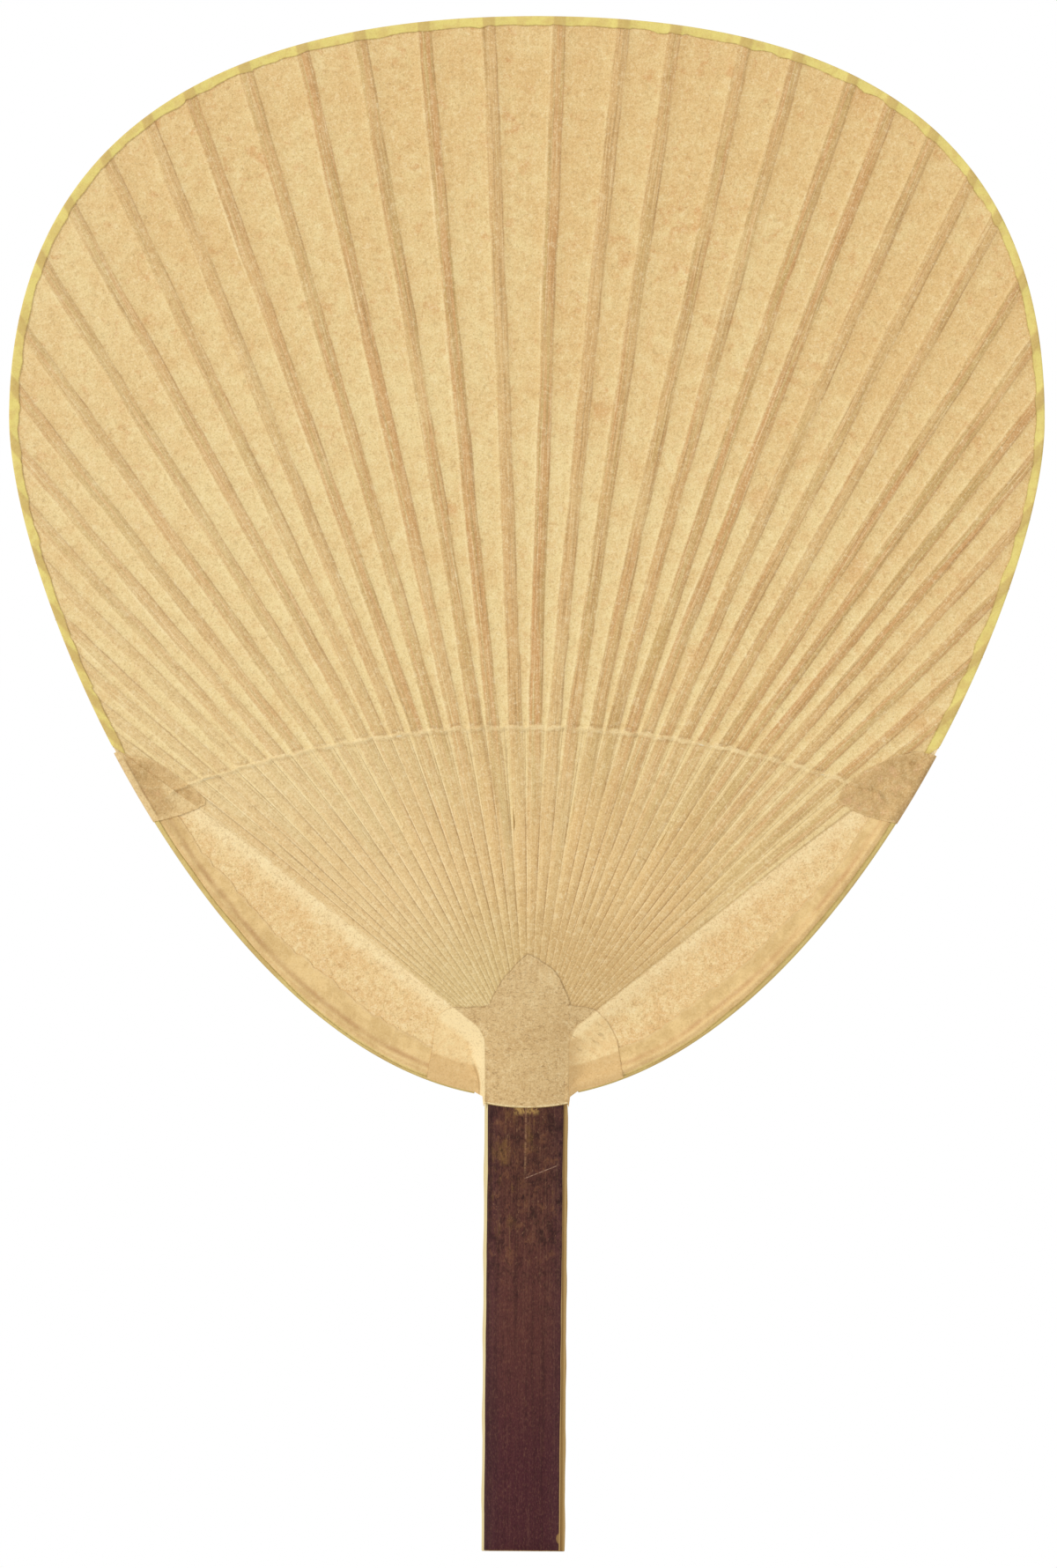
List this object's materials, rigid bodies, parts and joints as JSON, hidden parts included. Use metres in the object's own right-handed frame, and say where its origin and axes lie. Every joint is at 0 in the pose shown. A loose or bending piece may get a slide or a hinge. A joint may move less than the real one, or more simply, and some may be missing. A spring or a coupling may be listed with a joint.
{
  "type": "round hand fan",
  "caption": "Round flat hand fan: a bamboo slip forms the grip and, split, the ribs; paper on both faces, bound rim, bow and weaving thread.",
  "frame": {"origin": "middle of the grip's end face", "axes": "+Z along the grip to the leaf, X across the leaf, front of the leaf towards -Y"},
  "size_m": [0.2564, 0.0065, 0.38],
  "materials": {
    "bamboo": "split bamboo, the grip's skin stained dark purple brown",
    "bow": "peeled bamboo rod",
    "thread": "undyed cotton thread",
    "washi": "aged fibrous paper, mottled",
    "binding": "yellow dyed paper",
    "hem": "aged paper, darker",
    "patch": "speckled fibrous paper",
    "ear": "mottled grey brown paper"
  },
  "bodies": {
    "root": {"bamboo_slip": "bamboo", "bow": "bow", "thread": "thread", "front_paper": "washi", "back_paper": "washi", "rim_binding": "binding", "hem_left": "hem", "hem_right": "hem", "lower_binding_left": "binding", "lower_binding_right": "binding", "ear_left": "ear", "ear_right": "ear", "neck_patch_front": "patch", "neck_patch_back": "patch"}
  },
  "joints": []
}
